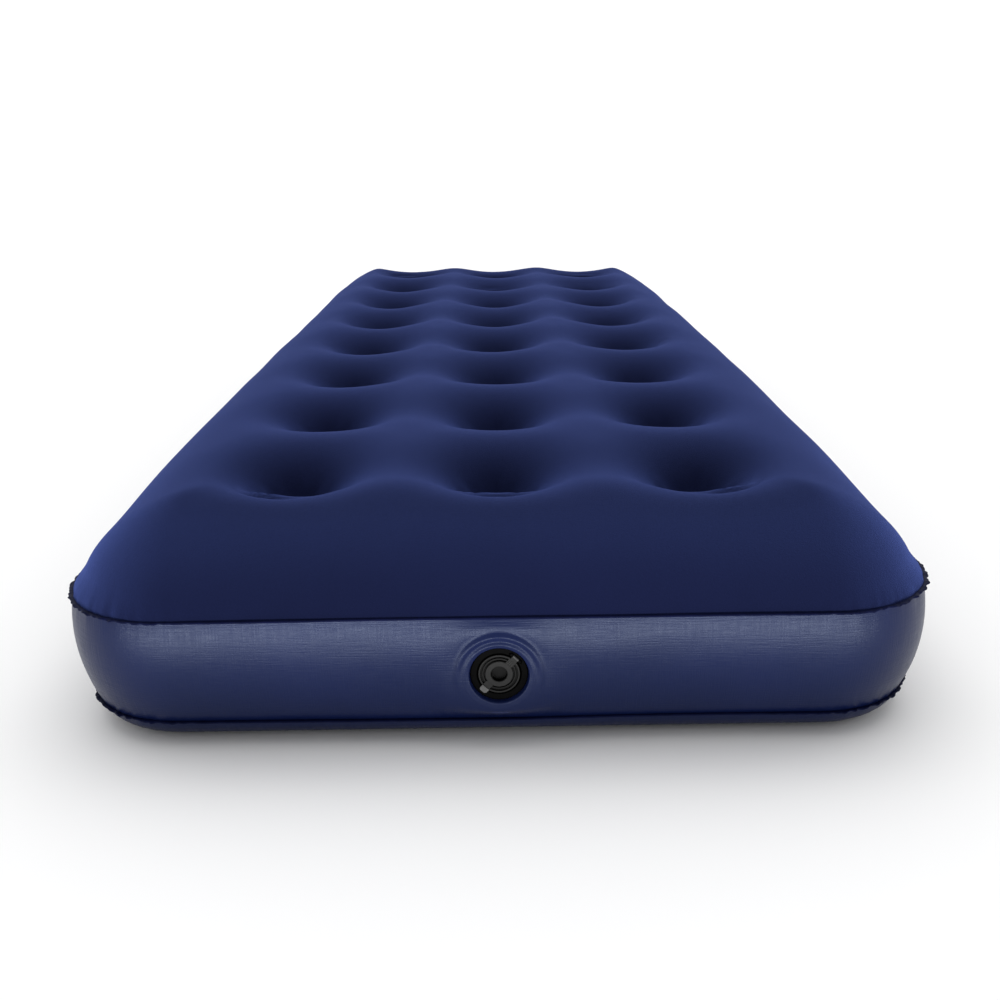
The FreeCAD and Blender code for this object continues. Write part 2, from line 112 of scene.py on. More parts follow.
def smooth(value, low, high):
    """0 below low, 1 above high, with a smooth step between."""
    t = np.clip((np.asarray(value, float) - low) / (high - low), 0.0, 1.0)
    return t * t * (3 - 2 * t)


def bump_of(value, centre, width):
    return np.exp(-(((np.asarray(value, float) - centre) / width) ** 2))


def wander(value, seed, period):
    """A smooth random number from -1 to 1 along a line, the same on every run."""
    value = np.atleast_1d(np.asarray(value, float))
    return np.array([noise.noise(Vector((v / period, seed * 7.31, 0.37))) for v in value]) * 1.6


def outline(s):
    """Point and outward normal on the top seam, s metres from the valve end's middle, towards +X."""
    s = (np.atleast_1d(np.asarray(s, float)) + PERIMETER) % PERIMETER
    legs = [
        (STRAIGHT_X, (0, -HALF_Y), (1, 0)),
        (QUARTER_ARC, (STRAIGHT_X, -STRAIGHT_Y), -90),
        (2 * STRAIGHT_Y, (HALF_X, -STRAIGHT_Y), (0, 1)),
        (QUARTER_ARC, (STRAIGHT_X, STRAIGHT_Y), 0),
        (2 * STRAIGHT_X, (STRAIGHT_X, HALF_Y), (-1, 0)),
        (QUARTER_ARC, (-STRAIGHT_X, STRAIGHT_Y), 90),
        (2 * STRAIGHT_Y, (-HALF_X, STRAIGHT_Y), (0, -1)),
        (QUARTER_ARC, (-STRAIGHT_X, -STRAIGHT_Y), 180),
        (STRAIGHT_X, (-STRAIGHT_X, -HALF_Y), (1, 0)),
    ]
    point, normal = np.zeros((len(s), 2)), np.zeros((len(s), 2))
    start = 0.0
    for index, (length, origin, way) in enumerate(legs):
        last = index == len(legs) - 1
        here = (s >= start) & ((s < start + length) | last)
        run = s[here] - start
        if isinstance(way, tuple):
            point[here] = np.array(origin) + run[:, None] * np.array(way)
            normal[here] = (way[1], -way[0])
        else:
            turn = math.radians(way) + run / CORNER_R
            normal[here] = np.stack([np.cos(turn), np.sin(turn)], 1)
            point[here] = np.array(origin) + CORNER_R * normal[here]
        start += length
    return point, normal


def along(points):
    """Where plan points lie round the bed: the outline's s nearest to them, and 0 to 1 in a corner."""
    x, y = points[:, 0], points[:, 1]
    cx, cy = np.abs(x) - STRAIGHT_X, np.abs(y) - STRAIGHT_Y
    corner = (cx > 0) & (cy > 0)
    end = (cy >= cx) & ~corner
    turn = np.arctan2(np.maximum(cx, 0), np.maximum(cy, 1e-9))
    s = np.where(end, np.clip(np.abs(x), 0, STRAIGHT_X), 0.0)
    side = STRAIGHT_X + QUARTER_ARC + np.clip(STRAIGHT_Y - np.abs(y), 0, STRAIGHT_Y)
    s = np.where(~end & ~corner, side, s)
    s = np.where(corner, STRAIGHT_X + turn * CORNER_R, s)
    s = np.where(y > 0, PERIMETER / 2 - s, s)
    middle = np.abs(turn / (math.pi / 2) - 0.5) * 2
    cornering = np.where(corner, 1 - 0.35 * middle**4, 0.0)
    gap = np.where(end, STRAIGHT_X - np.abs(x), STRAIGHT_Y - np.abs(y))
    near = np.exp(-np.maximum(gap, 0) / (22 * MM)) * 0.65
    return np.where(x < 0, -s, s), np.where(corner, cornering, near)


def grid_faces(n, k, wrap_n=False, wrap_k=False):
    """Faces of a grid of n lines with k points each, closed to a ring either way if asked."""
    return [
        (i * k + j, (i + 1) % n * k + j, (i + 1) % n * k + (j + 1) % k, i * k + (j + 1) % k)
        for i in range(n if wrap_n else n - 1)
        for j in range(k if wrap_k else k - 1)
    ]


def panel_plan(half_x, half_y, corner_r, rows):
    """A grid over a rounded rectangle whose outer lines run parallel to its edge.

    rows are the distances of those lines from the edge, the last at least the corner's radius.
    Returns plan points, each one's distance from the edge, and the faces."""
    zone = rows[-1]

    def lines(half):
        inner = 2 * (half - zone)
        count = max(2, round(inner / CELL))
        middle = [zone + inner * k / count for k in range(1, count)]
        return list(rows) + middle + [2 * half - r for r in reversed(rows)], len(rows) - 1

    xs, last = lines(half_x)
    ys, _ = lines(half_y)
    nx, ny = len(xs), len(ys)
    points, edge = np.zeros((nx * ny, 2)), np.zeros(nx * ny)
    for i in range(nx):
        side_x, ix = (-1, i) if i <= nx - 1 - i else (1, nx - 1 - i)
        for j in range(ny):
            side_y, iy = (-1, j) if j <= ny - 1 - j else (1, ny - 1 - j)
            px = half_x - min(xs[i], 2 * half_x - xs[i])
            py = half_y - min(ys[j], 2 * half_y - ys[j])
            distance = min(half_x - px, half_y - py)
            if ix < last and iy < last:
                ring = min(ix, iy)
                distance = rows[ring]
                r = max(corner_r - distance, 0.0)
                leg = zone - distance - r
                length = 2 * leg + math.pi / 2 * r
                share = (last - max(ix, iy)) / (2 * (last - ring))
                run = (share if ix <= iy else 1 - share) * length
                if run < leg:
                    a, b = zone - distance, run
                elif run > length - leg:
                    a, b = length - run, zone - distance
                else:
                    turn = (run - leg) / max(r, 1e-9)
                    a, b = leg + r * math.cos(turn), leg + r * math.sin(turn)
                px, py = half_x - zone + a, half_y - zone + b
            points[i * ny + j] = (side_x * px, side_y * py)
            edge[i * ny + j] = distance
    return points, edge, grid_faces(nx, ny)


def roll_rows(profile, roll, reach):
    """Distances from the edge at even steps of the rolled edge's arc length, then on to reach."""
    d = np.linspace(0, roll, 4000)
    z = profile(d)
    length = np.concatenate([[0], np.cumsum(np.hypot(np.diff(d), np.diff(z)))])
    count = max(4, round(length[-1] / CELL))
    rows = list(np.interp(np.linspace(0, length[-1], count + 1), length, d))
    extra = max(0, math.ceil((reach - roll) / CELL))
    return rows + [roll + (reach - roll) * (k + 1) / extra for k in range(extra)]


def top_roll(d):
    """Height of the top's rolled edge, d inwards from the seam."""
    t = 1 - np.clip(np.asarray(d, float) / TOP_ROLL, 0, 1)
    return TOP_SEAM_Z + (CREST_Z - TOP_SEAM_Z) * (1 - t**TOP_ROLL_POWER) ** (1 / TOP_ROLL_POWER)


def base_roll(d):
    """Height of the base's rolled edge, d inwards from the seam."""
    t = 1 - np.clip(np.asarray(d, float) / BASE_ROLL, 0, 1)
    return BASE_SEAM_Z * (1 - np.sqrt(1 - t**2))


def soft_limit(depth, most, blend):
    """depth, but never past most, with the corner between the two rounded."""
    return -blend * np.log(np.exp(-depth / blend) + np.exp(-most / blend))


def pits(points, edge, pull, reach, most):
    """Depth of all dimples at plan points, each the shape of a stretched sheet drawn down at its weld.

    The rolled edge is stiffer, so the pull fades towards it."""
    total = np.zeros(len(points))
    for centre in DIMPLES:
        r = np.maximum(np.hypot(*(points - centre).T), 4 * MM)
        near = r < reach
        total[near] += pull * (np.log(reach / r[near]) - (1 - (r[near] / reach) ** 2) / 2)
    share = EDGE_PULL + (1 - EDGE_PULL) * smooth(edge, 30 * MM, EDGE_FREE)
    return soft_limit(np.minimum(total * share, CREST_Z), most, 4 * MM)


def column_swell(points, edge):
    """The sheet runs higher between the columns of dimples than over them, most in the middle."""
    wave = -np.cos(2 * math.pi * points[:, 0] / COLUMN_PITCH)
    share = smooth(points[:, 1], -0.62, 0.15) * (1 - 0.45 * smooth(points[:, 1], 0.4, 0.85))
    return SWELL * wave * share * smooth(edge, 25 * MM, 110 * MM)


def top_shape(points, edge):
    crest = column_swell(points, edge)
    most = CREST_Z + crest - PIT_FLOOR_Z
    return top_roll(edge) + crest - pits(points, edge, TOP_PULL, TOP_REACH, most)


def base_shape(points, edge):
    return base_roll(edge) + pits(points, edge, BASE_PULL, BASE_REACH, BASE_PIT_Z)


def weld_distance(points):
    """How far plan points lie from the nearest dimple's middle."""
    return np.min([np.hypot(*(points[:, :2] - c).T) for c in DIMPLES], axis=0)


# ---------------------------------------------------------------- meshes


def make_piece(name, points, faces):
    """A smooth mesh object in the scene."""
    mesh = bpy.data.meshes.new(name)
    mesh.from_pydata([tuple(p) for p in points], [], [tuple(f) for f in faces])
    mesh.validate()
    mesh.shade_smooth()
    piece = bpy.data.objects.new(name, mesh)
    bpy.context.scene.collection.objects.link(piece)
    return piece


def coords(piece):
    out = np.zeros(len(piece.data.vertices) * 3)
    piece.data.vertices.foreach_get("co", out)
    return out.reshape(-1, 3)


def set_coords(piece, points):
    piece.data.vertices.foreach_set("co", np.asarray(points, float).ravel())
    piece.data.update()


def give(piece, name, values, kind="FLOAT"):
    """Stores numbers on the mesh's points for a material to read."""
    layer = piece.data.attributes.new(name, kind, "POINT")
    field = "value" if kind == "FLOAT" else "vector"
    layer.data.foreach_set(field, np.asarray(values, np.float32).ravel())


def give_weave(piece, across, up):
    """Lays the emboss's threads out over a band: across runs along it, up over its height."""
    give(piece, "weave", np.column_stack([across, up, 0 * across]), "FLOAT_VECTOR")


def stand_for(node):
    """Hides the CAD node that a built piece takes the place of."""
    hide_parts(node)


def bake_modifiers(piece):
    """Puts the mesh that the modifiers make in place of the piece's own."""
    graph = bpy.context.evaluated_depsgraph_get()
    mesh = bpy.data.meshes.new_from_object(piece.evaluated_get(graph), depsgraph=graph)
    piece.modifiers.clear()
    old, piece.data = piece.data, mesh
    bpy.data.meshes.remove(old)
    mesh.name = piece.name
    mesh.shade_smooth()


def subdivide(piece):
    modifier = piece.modifiers.new("finer", "SUBSURF")
    modifier.levels = modifier.render_levels = 1
    modifier.boundary_smooth = "PRESERVE_CORNERS"
    bake_modifiers(piece)


def inflate(piece, held, cap, frames=18):
    """Blows the sheet up by cloth simulation with the held points fixed, and keeps moves under cap."""
    start = coords(piece)
    group = piece.vertex_groups.new(name="held")
    group.add([int(i) for i in np.flatnonzero(held)], 1.0, "REPLACE")
    cloth = piece.modifiers.new("inflate", "CLOTH")
    settings = cloth.settings
    settings.quality = 6
    settings.mass = 0.25
    settings.tension_stiffness = settings.compression_stiffness = 22
    settings.shear_stiffness = 14
    settings.bending_stiffness = 1.2
    settings.tension_damping = settings.compression_damping = 12
    settings.air_damping = 4
    settings.use_pressure = True
    settings.uniform_pressure_force = 5.0
    settings.vertex_group_mass = "held"
    settings.effector_weights.gravity = 0
    cloth.collision_settings.use_collision = False
    cloth.point_cache.frame_start, cloth.point_cache.frame_end = 1, frames
    scene = bpy.context.scene
    for number in range(1, frames + 1):
        scene.frame_set(number)
    graph = bpy.context.evaluated_depsgraph_get()
    moved = np.array([v.co for v in piece.evaluated_get(graph).data.vertices])
    piece.modifiers.clear()
    piece.vertex_groups.clear()
    scene.frame_set(1)
    step = moved - start
    length = np.linalg.norm(step, axis=1)
    print("INFLATE", piece.name, "max and mean mm", np.round([length.max() / MM, length.mean() / MM], 2))
    step *= (cap * np.tanh(length / cap) / np.maximum(length, 1e-9))[:, None]
    set_coords(piece, start + step)


# ---------------------------------------------------------------- what the welds do to the sheets


def seam_wave(s, seed):
    """The slow rise and fall of a seam along its length."""
    return 0.7 * MM * wander(s, seed, 0.31) + 0.35 * MM * wander(s, seed + 3, 0.083)


def crimp(s, seed):
    """Small uneven gathers, about 1 high, where a corner takes up the length of a flat sheet."""
    return 0.65 * wander(s, seed, 7.5 * MM) + 0.5 * wander(s, seed + 5, 4.2 * MM)


def seam_pull(points, seam_z, seed, reach):
    """Moves sheet points near a seam with it: its slow wave, and the puckers at the corners."""
    s, corner = along(points)
    near = np.exp(-np.abs(points[:, 2] - seam_z) / reach)
    points[:, 2] += seam_wave(s, seed) * near
    pucker = crimp(s, seed) * corner * np.exp(-np.abs(points[:, 2] - seam_z) / (9 * MM)) * 1.1 * MM
    centre = np.clip(points[:, :2], (-STRAIGHT_X, -STRAIGHT_Y), (STRAIGHT_X, STRAIGHT_Y))
    out = points[:, :2] - centre
    out /= np.maximum(np.linalg.norm(out, axis=1), 1e-9)[:, None]
    points[:, :2] += out * pucker[:, None]
    return points


def valve_end_push(points):
    """The stiff collar pushes the lower part of the band, and the seam below it, outwards a little."""
    front = (points[:, 1] < -STRAIGHT_Y) & (np.abs(points[:, 0]) < STRAIGHT_X)
    level = smooth(points[:, 2], 4 * MM, 22 * MM) * (1 - smooth(points[:, 2], 34 * MM, 80 * MM))
    push = VALVE_PUSH * bump_of(points[:, 0], VALVE_X, 95 * MM) * level
    points[:, 1] -= np.where(front, push, 0.0)
    return points


# ---------------------------------------------------------------- the flocked top


def weld_puckers(points, sheet_z):
    """Short radial gathers round each weld, and the shallow groove of the weld itself."""
    lift = np.zeros(len(points))
    for index, centre in enumerate(DIMPLES):
        offset = points[:, :2] - centre
        r = np.hypot(*offset.T)
        near = np.flatnonzero(r < 80 * MM)
        turn = np.arctan2(offset[near, 1], offset[near, 0])
        phase = 2.4 * index
        waves = np.sin(9 * turn + phase) + 0.7 * np.sin(14 * turn - 1.7 * phase)
        waves += 0.5 * np.sin(5 * turn + phase)
        lift[near] += 0.75 * MM * waves * bump_of(r[near], 31 * MM, 9 * MM)
        lift[near] -= 0.9 * MM * bump_of(r[near], 20 * MM, 2.6 * MM)
    points[:, 2] += lift * sheet_z
    return points


def crescent(points, centre, radius, turn, spread, lift):
    """A soft fold along an arc about a dimple: a ridge with a valley outside it, fading at its ends."""
    offset = points[:, :2] - np.array(centre)
    r = np.hypot(*offset.T)
    angle = np.degrees(np.arctan2(offset[:, 1], offset[:, 0]))
    away = (angle - turn + 180) % 360 - 180
    fade = np.exp(-((away / spread) ** 2)) * (np.abs(away) < 2.5 * spread)
    ridge = bump_of(r, radius, 4.2 * MM) - 0.75 * bump_of(r, radius + 8.5 * MM, 4.6 * MM)
    points[:, 2] += lift * ridge * fade
    return points


def top_creases(points):
    """The folds that the pulled-down sheet makes beside the dimples of the first and last rows."""
    folds = [  # column, row, radius, way from the dimple and half width in degrees, height
        (COLUMNS[0], ROWS[0], 54 * MM, -113, 32, 4.8 * MM),
        (COLUMNS[1], ROWS[0], 54 * MM, -89, 38, 4.0 * MM),
        (COLUMNS[2], ROWS[0], 54 * MM, -64, 32, 4.6 * MM),
        (COLUMNS[0], ROWS[1], 58 * MM, -124, 24, 2.2 * MM),
        (COLUMNS[2], ROWS[1], 58 * MM, -56, 24, 2.4 * MM),
        (COLUMNS[0], ROWS[-1], 48 * MM, 118, 30, 2.6 * MM),
        (COLUMNS[2], ROWS[-1], 48 * MM, 70, 30, 2.4 * MM),
        (COLUMNS[1], ROWS[-2], 50 * MM, 100, 24, 1.4 * MM),
    ]
    for x, y, radius, turn, spread, lift in folds:
        points = crescent(points, (x, y), radius, turn, spread, lift)
    return points


def slack_corners(points):
    """The top is less full near its corners and towards the head, so its sides draw in there."""
    from_end, from_side = HALF_Y - np.abs(points[:, 1]), HALF_X - np.abs(points[:, 0])
    share = 1 - smooth(from_end, 110 * MM, 340 * MM) + smooth(points[:, 1], -0.3, 0.5)
    share = share * (1 - smooth(from_side, 50 * MM, 150 * MM))
    rise = smooth(points[:, 2], TOP_SEAM_Z, TOP_SEAM_Z + 20 * MM)
    points[:, 0] -= np.sign(points[:, 0]) * SLACK * share * rise
    return points


def head_end_lie(points):
    """The head end is a little less full than the foot end, the more so on its right."""
    far = smooth(points[:, 1], 0.0, 0.85)
    off_weld = smooth(weld_distance(points), 27 * MM, 75 * MM)
    return -(HEAD_DROP + HEAD_TILT * points[:, 0] / HALF_X) * far * off_weld


def uneven(points, seed, size, lift):
    """Slow unevenness of a sheet that was never quite flat."""
    shift = Vector((seed * 3.1, seed * 1.7, 0.0))
    values = np.array([noise.noise(Vector(p) / size + shift) for p in points])
    return values * lift


def bed_top():
    """The flocked sheet: meshed, blown up, then made uneven, slack, puckered and creased."""
    rows = roll_rows(top_roll, TOP_ROLL, TOP_ROLL)
    plan, edge, faces = panel_plan(HALF_X, HALF_Y, CORNER_R, rows)
    points = np.column_stack([plan, top_shape(plan, edge)])
    piece = make_piece("flocked_top", points, faces)
    inflate(piece, (weld_distance(plan) < 23 * MM) | (edge < 0.5 * MM), SIM_CAP)
    subdivide(piece)
    points = coords(piece)
    from_edge = np.min([HALF_X - np.abs(points[:, 0]), HALF_Y - np.abs(points[:, 1])], axis=0)
    inside = smooth(from_edge, 0, 40 * MM)
    points[:, 2] += (uneven(points, 1, 0.16, 2.2 * MM) + head_end_lie(points)) * inside
    points = slack_corners(points)
    points = weld_puckers(points, 1.0)
    points = top_creases(points)
    points = seam_pull(points, TOP_SEAM_Z, TOP_SEAM_SEED, TOP_SEAM_REACH)
    set_coords(piece, points)
    give(piece, "weld", 1 - smooth(weld_distance(points), 21 * MM, 25 * MM))
    stand_for("top_panel")
    return piece


def bed_base():
    """The vinyl sheet under the bed; only its rounded edge shows above the floor."""
    rows = roll_rows(base_roll, BASE_ROLL, CORNER_R)
    radius = CORNER_R - BASE_INSET
    plan, edge, faces = panel_plan(HALF_X - BASE_INSET, HALF_Y - BASE_INSET, radius, rows)
    points = np.column_stack([plan, base_shape(plan, edge)])
    piece = make_piece("base_sheet", points, [f[::-1] for f in faces])
    subdivide(piece)
    points = coords(piece)
    points = weld_puckers(points, -1.0)
    points = seam_pull(points, BASE_SEAM_Z, BASE_SEAM_SEED, BASE_SEAM_REACH)
    points = valve_end_push(points)
    points[:, 2] = np.maximum(points[:, 2], 0.0)
    set_coords(piece, points)
    stand_for("bottom_panel")
    return piece


# ---------------------------------------------------------------- the side band


def band_offset(z):
    """How far the band's outer face lies outside the top seam's outline, at each height."""
    rise = TOP_SEAM_Z - BASE_SEAM_Z
    chord = math.hypot(rise, BASE_INSET)
    radius = (chord**2 / 4 + BAND_BULGE**2) / (2 * BAND_BULGE)
    lean = math.atan2(BASE_INSET, rise)
    back = radius - BAND_BULGE
    centre_off = -BASE_INSET / 2 - back * math.cos(lean)
    centre_z = (TOP_SEAM_Z + BASE_SEAM_Z) / 2 + back * math.sin(lean)
    return centre_off + np.sqrt(radius**2 - (np.asarray(z, float) - centre_z) ** 2)


def collar_level(r, up):
    """Height over the collar's flat face: two soft rings above the valve, one smooth slope below it."""
    rings = 1.35 * bump_of(r, 28.3 * MM, 2.1 * MM) + 1.9 * bump_of(r, 35.2 * MM, 2.6 * MM)
    rings = rings - 0.5 * bump_of(r, 39.8 * MM, 2.0 * MM)
    slope = 1.35 * (1 - smooth(r, 29 * MM, 42 * MM))
    return (0.4 + rings * up + slope * (1 - up)) * MM


def upper_share(dx, dz):
    """1 above the valve, 0 below it."""
    return smooth(dz / np.maximum(np.hypot(dx, dz), 1e-6), -0.5, 0.75)


def collar_mound(s, z):
    """Where the band is drawn out to the collar, with the soft rings round the mouth."""
    dx, dz = s - VALVE_X, z - VALVE_Z
    r = np.hypot(dx, dz)
    hold = (1 - smooth(r, 34 * MM, 68 * MM)) * smooth(z, BASE_SEAM_Z, BASE_SEAM_Z + 15 * MM)
    hold = hold * (1 - smooth(z, TOP_SEAM_Z - 14 * MM, TOP_SEAM_Z))
    return (FACE_OFF + collar_level(r, upper_share(dx, dz)) - band_offset(z)) * hold


def collar_lip():
    """The collar's soft face, from its edge under the band round into the mouth."""
    turn = np.linspace(0, 2 * math.pi, 145)[:-1]
    flat_radii = np.concatenate([[32.6, 31.8, 31.2], np.linspace(30.6, 26.1, 8)]) * MM
    round_in = np.sin(np.linspace(0.12, math.pi / 2, 8))
    radii = np.concatenate([flat_radii, MOUTH_R + LIP_ROUND * (1 - round_in)])
    round_in = np.concatenate([0 * flat_radii, round_in])
    drop = 4.3 * MM * (1 - np.sqrt(1 - round_in**2)) + 0.15 * MM * smooth(radii, 30.9 * MM, 31.3 * MM)
    points = []
    for radius, down in zip(radii, drop):
        dx, dz = radius * np.cos(turn), radius * np.sin(turn)
        level = collar_level(np.full(len(turn), radius), upper_share(dx, dz)) - down
        points.append(np.column_stack([VALVE_X + dx, -HALF_Y - FACE_OFF - level, VALVE_Z + dz]))
    faces = [f[::-1] for f in grid_faces(len(radii), len(turn), wrap_k=True)]
    piece = make_piece("collar_lip", np.concatenate(points), faces)
    subdivide(piece)
    across, _, up = coords(piece).T
    give_weave(piece, across, up)
    return piece


def band_columns(window):
    """Stations along the band from end to end, with one at each edge of the valve's window."""
    parts = []
    for low, high in ((JOINT_S - PERIMETER, -window), (-window, window), (window, JOINT_S)):
        count = round((high - low) / CELL)
        parts.append(np.linspace(low, high, count + 1))
    return np.concatenate([parts[0][:-1], parts[1], parts[2][1:]])


def flat_band():
    """The band laid out flat: a grid, with rings of cells round the valve's hole in its middle."""
    window = 6 * CELL
    columns = band_columns(window)
    heights = np.linspace(BASE_SEAM_Z, TOP_SEAM_Z, 13)
    nr = len(heights)
    flat = [(s, z) for s in columns for z in heights]
    first = int(np.argmin(np.abs(columns + window)))
    last = int(np.argmin(np.abs(columns - window)))
    faces = [f for f in grid_faces(len(columns), nr) if not first <= f[0] // nr < last]
    loop = [i * nr for i in range(first, last)] + [last * nr + j for j in range(nr - 1)]
    loop += [i * nr + nr - 1 for i in range(last, first, -1)]
    loop += [first * nr + j for j in range(nr - 1, 0, -1)]
    window_points = np.array([flat[k] for k in loop])
    offset = window_points - (VALVE_X, VALVE_Z)
    turn = np.arctan2(offset[:, 1], offset[:, 0])
    circle = np.column_stack([np.cos(turn), np.sin(turn)])
    radii = [r * MM for r in (31.0, 31.7, 32.5, 33.5, 34.6, 35.8, 37.2, 38.6, 40.2)]
    rings = [np.array((VALVE_X, VALVE_Z)) + circle * r for r in radii]
    rings.append((rings[-1] + window_points) / 2)
    numbers = []
    for ring in rings:
        numbers.append(list(range(len(flat), len(flat) + len(ring))))
        flat += [tuple(p) for p in ring]
    numbers.append(loop)
    for inner, outer in zip(numbers, numbers[1:]):
        faces += [(inner[k - 1], outer[k - 1], outer[k], inner[k]) for k in range(len(loop))]
    used = sorted({k for f in faces for k in f})
    renumber = {k: n for n, k in enumerate(used)}
    faces = [tuple(renumber[k] for k in f) for f in faces]
    flat = np.array(flat)[used]
    return np.column_stack([flat, np.zeros(len(flat))]), faces


def band_unevenness(points):
    """How far the band strays outwards from its smooth shape, fading to nothing at its seams."""
    z = points[:, 2]
    middle = smooth(z, BASE_SEAM_Z, BASE_SEAM_Z + 30 * MM)
    middle = middle * (1 - smooth(z, TOP_SEAM_Z - 30 * MM, TOP_SEAM_Z))
    return (uneven(points, 2, 0.19, 1.5 * MM) + uneven(points, 5, 0.06, 0.35 * MM)) * middle


def both_seams_pull(points):
    points = seam_pull(points, TOP_SEAM_Z, TOP_SEAM_SEED, TOP_SEAM_REACH)
    return seam_pull(points, BASE_SEAM_Z, BASE_SEAM_SEED, BASE_SEAM_REACH)


def side_wall():
    """The side band, swollen between its seams and drawn out to the collar."""
    piece = make_piece("side_wall", *flat_band())
    subdivide(piece)
    s, z, _ = coords(piece).T
    base, normal = outline(s)
    mound = np.where(np.abs(s) < 0.12, collar_mound(s, z), 0.0)
    points = np.column_stack([base + normal * (band_offset(z) + mound)[:, None], z])
    free = smooth(np.hypot(s - VALVE_X, z - VALVE_Z), 35 * MM, 80 * MM)
    points[:, :2] += normal * (band_unevenness(points) * free)[:, None]
    points = both_seams_pull(points)
    pushed = valve_end_push(points.copy())
    beside = np.maximum(free, 1 - smooth(z, BASE_SEAM_Z, BASE_SEAM_Z + 14 * MM))
    points += (pushed - points) * beside[:, None]
    set_coords(piece, points)
    give_weave(piece, s, z)
    stand_for("side_band")
    return piece


def joint_strip():
    """The strip over the band's two ends, with thin pressed edges."""
    low, high = box_of("band_joint_strip")
    half = (high[0] - low[0]) / 2
    across = np.linspace(-half, half, 15)
    heights = np.linspace(BASE_SEAM_Z + 1.2 * MM, TOP_SEAM_Z - 1.2 * MM, 30)
    grid = np.array([(JOINT_S + a, z) for a in across for z in heights])
    base, normal = outline(grid[:, 0])
    inward = half - np.abs(grid[:, 0] - JOINT_S)
    thick = 0.15 * MM + 0.75 * MM * smooth(inward, 0, 1.6 * MM)
    thick += 0.12 * MM * np.array([noise.noise(Vector((a * 160, z * 160, 0.0))) for a, z in grid])
    points = np.column_stack([base + normal * band_offset(grid[:, 1])[:, None], grid[:, 1]])
    points[:, :2] += normal * (band_unevenness(points) + thick)[:, None]
    points = both_seams_pull(points)
    piece = make_piece("band_joint", points, grid_faces(len(across), len(heights)))
    subdivide(piece)
    across, _, up = coords(piece).T
    give_weave(piece, across, up)
    stand_for("band_joint_strip")
    return piece


# ---------------------------------------------------------------- the welded seams


def seam_stations():
    """Places round the bed at which a seam's section is drawn: fine in the corners, coarse between."""
    stops = np.arange(0, PERIMETER / 2, 1.1 * MM)
    s = np.concatenate([-stops[:0:-1], stops])
    point, _ = outline(s)
    _, corner = along(point)
    keep = (corner > 0.02) | (np.arange(len(s)) % 5 == 0)
    return s[keep], corner[keep]


def seam_lip(name, node, seam_z, inset, width, seed):
    """A pressed flange with a rounded free edge, gathered round the corners."""
    s, corner = seam_stations()
    base, normal = outline(s)
    upper_half = [(-2.5, 0.55), (0.2, 0.8), (0.72, 0.8), (0.93, 0.55)]
    section = upper_half + [(1.0, 0.0)] + [(a, -h) for a, h in reversed(upper_half)]
    gather = crimp(s, seed) * corner
    ragged = 0.35 * wander(s, seed + 9, 5.1 * MM) * (0.12 + corner)
    reach = width * (1 + ragged + 0.22 * wander(s, seed + 2, 0.13))
    points = []
    for along_width, height in section:
        out = along_width * MM if along_width < 0 else along_width * reach
        share = max(along_width, 0.0)
        z = seam_z + seam_wave(s, seed) + height * MM + gather * 1.3 * MM * share
        outward = -inset + out + gather * (0.4 + 0.2 * share) * MM
        points.append(np.column_stack([base + normal * np.broadcast_to(outward, s.shape)[:, None], z]))
    points = np.stack(points, 1)
    faces = grid_faces(*points.shape[:2], wrap_n=True, wrap_k=True)
    points = points.reshape(-1, 3)
    if seam_z == BASE_SEAM_Z:
        points = valve_end_push(points)
    piece = make_piece(name, points, faces)
    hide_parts(node)
    return piece


# ---------------------------------------------------------------- materials


class Shade:
    """A material under construction: adds nodes and links them in one call."""

    def __init__(self, name, **values):
        self.material = bpy.data.materials.new(name)
        self.material.use_nodes = True
        self.tree = self.material.node_tree
        self.surface = self.tree.nodes["Principled BSDF"]
        for key, value in values.items():
            self.surface.inputs[key.replace("_", " ")].default_value = value

    def add(self, kind, inputs=None, **settings):
        node = self.tree.nodes.new(kind)
        for key, value in settings.items():
            setattr(node, key, value)
        for key, value in (inputs or {}).items():
            socket = node.inputs[key]
            if isinstance(value, bpy.types.NodeSocket):
                self.tree.links.new(value, socket)
            else:
                socket.default_value = value
        return node

    def place(self):
        return self.add("ShaderNodeTexCoord").outputs["Object"]

    def noise(self, vector, scale, detail=2.0, roughness=0.5):
        inputs = {"Vector": vector, "Scale": scale, "Detail": detail, "Roughness": roughness}
        return self.add("ShaderNodeTexNoise", inputs).outputs["Fac"]

    def stretch(self, vector, scale):
        return self.add("ShaderNodeMapping", {"Vector": vector, "Scale": scale}).outputs["Vector"]

    def math(self, operation, a, b=0.0, clamp=False):
        return self.add("ShaderNodeMath", {0: a, 1: b}, operation=operation, use_clamp=clamp).outputs[0]

    def ramp(self, value, low, high, to_low=0.0, to_high=1.0):
        inputs = {"Value": value, "From Min": low, "From Max": high}
        inputs.update({"To Min": to_low, "To Max": to_high})
        return self.add("ShaderNodeMapRange", inputs).outputs[0]

    def mix(self, share, a, b):
        node = self.add("ShaderNodeMix", data_type="RGBA")
        for socket, value in ((node.inputs[0], share), (node.inputs[6], a), (node.inputs[7], b)):
            if isinstance(value, bpy.types.NodeSocket):
                self.tree.links.new(value, socket)
            else:
                socket.default_value = value
        return node.outputs[2]

    def bump(self, height, distance, strength=1.0, under=None):
        inputs = {"Height": height, "Distance": distance, "Strength": strength}
        if under is not None:
            inputs["Normal"] = under
        return self.add("ShaderNodeBump", inputs).outputs["Normal"]

    def drive(self, **sockets):
        for key, value in sockets.items():
            self.tree.links.new(value, self.surface.inputs[key.replace("_", " ")])
        return self.material


def rgb(*shades):
    """Linear colour from three display values of 0 to 255."""
    line = [((c / 255 + 0.055) / 1.055) ** 2.4 if c > 10 else c / 255 / 12.92 for c in shades]
    return (*line, 1.0)


